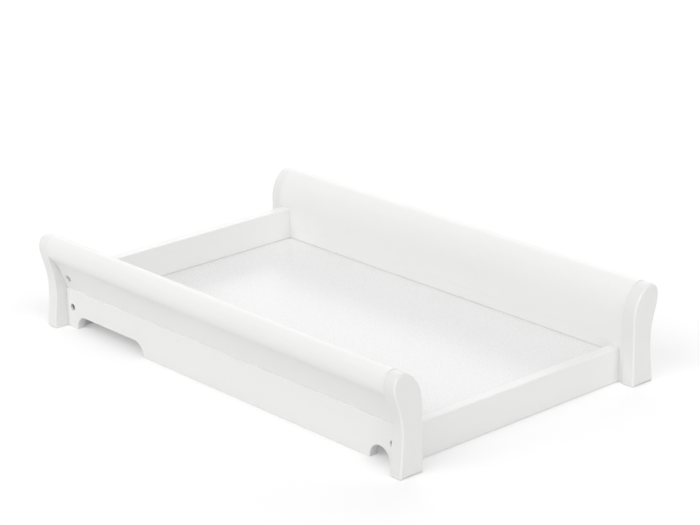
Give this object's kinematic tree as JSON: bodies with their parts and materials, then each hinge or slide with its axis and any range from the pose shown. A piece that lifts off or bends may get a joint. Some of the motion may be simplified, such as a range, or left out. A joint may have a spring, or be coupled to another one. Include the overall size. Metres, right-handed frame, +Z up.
{
  "type": "cot-top changing tray",
  "caption": "White wooden tray with scrolled side walls, a tall and a low end rail and notched aprons, which holds a changing mat on top of a cot.",
  "frame": {"origin": "middle of the bounding box at floor level, under the soles of the four posts", "axes": "+X along the tray towards the low foot rail, +Y across the tray towards the right side wall, +Z up"},
  "size_m": [0.85, 0.5428, 0.1594],
  "materials": {
    "painted_wood": "satin white paint on wood",
    "painted_board": "smooth white lacquered fibreboard",
    "zinc_steel": "dull zinc-plated steel",
    "beech_dowel": "bare beech"
  },
  "bodies": {
    "root": {"left_head_post": "painted_wood", "left_foot_post": "painted_wood", "right_head_post": "painted_wood", "right_foot_post": "painted_wood", "left_side_panel": "painted_wood", "left_apron": "painted_wood", "right_side_panel": "painted_wood", "right_apron": "painted_wood", "head_rail": "painted_wood", "foot_rail": "painted_wood", "base_board": "painted_board", "bolt_left_head_lower": "zinc_steel", "barrel_nut_left_head_lower": "zinc_steel", "bolt_left_head_upper": "zinc_steel", "barrel_nut_left_head_upper": "zinc_steel", "bolt_left_foot": "zinc_steel", "barrel_nut_left_foot": "zinc_steel", "dowel_left_head_post_lower": "beech_dowel", "dowel_left_head_post_middle": "beech_dowel", "dowel_left_head_post_upper": "beech_dowel", "dowel_left_head_rail": "beech_dowel", "dowel_left_foot_post_lower": "beech_dowel", "dowel_left_foot_post_middle": "beech_dowel", "dowel_left_foot_post_upper": "beech_dowel", "dowel_left_foot_rail": "beech_dowel", "dowel_left_seam_1": "beech_dowel", "dowel_left_seam_2": "beech_dowel", "dowel_left_seam_3": "beech_dowel", "bolt_right_head_lower": "zinc_steel", "barrel_nut_right_head_lower": "zinc_steel", "bolt_right_head_upper": "zinc_steel", "barrel_nut_right_head_upper": "zinc_steel", "bolt_right_foot": "zinc_steel", "barrel_nut_right_foot": "zinc_steel", "dowel_right_head_post_lower": "beech_dowel", "dowel_right_head_post_middle": "beech_dowel", "dowel_right_head_post_upper": "beech_dowel", "dowel_right_head_rail": "beech_dowel", "dowel_right_foot_post_lower": "beech_dowel", "dowel_right_foot_post_middle": "beech_dowel", "dowel_right_foot_post_upper": "beech_dowel", "dowel_right_foot_rail": "beech_dowel", "dowel_right_seam_1": "beech_dowel", "dowel_right_seam_2": "beech_dowel", "dowel_right_seam_3": "beech_dowel"}
  },
  "joints": []
}
